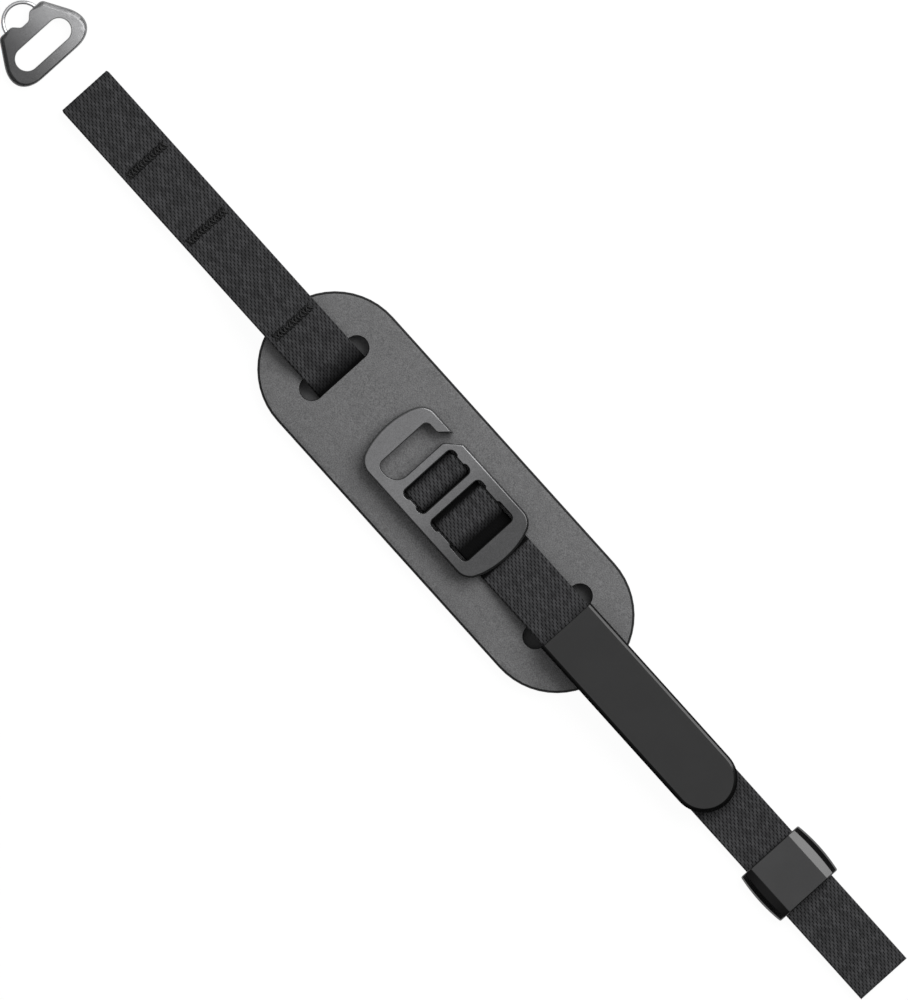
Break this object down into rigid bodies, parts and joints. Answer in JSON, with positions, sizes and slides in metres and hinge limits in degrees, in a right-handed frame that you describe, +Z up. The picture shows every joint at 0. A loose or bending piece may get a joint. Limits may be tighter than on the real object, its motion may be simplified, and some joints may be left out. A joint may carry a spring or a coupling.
{
  "type": "camera finger strap",
  "caption": "Camera finger strap: palm pad on narrow webbing with sewn loops, hooked adjusting buckle, pull tab, sliding keeper and separate connector plate with a wire bail.",
  "frame": {"origin": "on the surface that the strap lies on, under the middle of the pad, which is also the middle of the whole", "axes": "+X along the strap from the connector towards the lower end, +Y across it, +Z up from the surface"},
  "size_m": [0.3204, 0.0382, 0.0106],
  "materials": {
    "webbing": "charcoal woven nylon webbing, matt",
    "thread": "black sewing thread, dense zigzag",
    "pad": "grey suede-like, very matt, with a thin darker rim",
    "buckle_metal": "bead-blasted and anodised grey, satin, bright chamfered edges",
    "tab": "black moulded, satin",
    "keeper_plastic": "black, glossy shoulders and fine matt top",
    "plate_metal": "bead-blasted and anodised grey, satin",
    "polished_wire": "polished steel wire"
  },
  "bodies": {
    "strap": {"main_webbing": "webbing", "webbing_in_pad": "webbing", "lower_webbing": "webbing", "adjuster_webbing": "webbing", "bar_tack_end": "thread", "bar_tack_middle": "thread", "bar_tack_pad": "thread", "hand_pad": "pad", "pad_core": "pad", "pad_lining": "pad", "buckle": "buckle_metal", "pull_tab": "tab", "connector_plate": "plate_metal", "connector_bail": "polished_wire"},
    "keeper": {"keeper": "keeper_plastic"}
  },
  "joints": [
    {"name": "keeper_slide", "type": "slide", "parent": "strap", "child": "keeper", "axis": [1, 0, 0], "range_m": [-0.014, 0.025]}
  ]
}
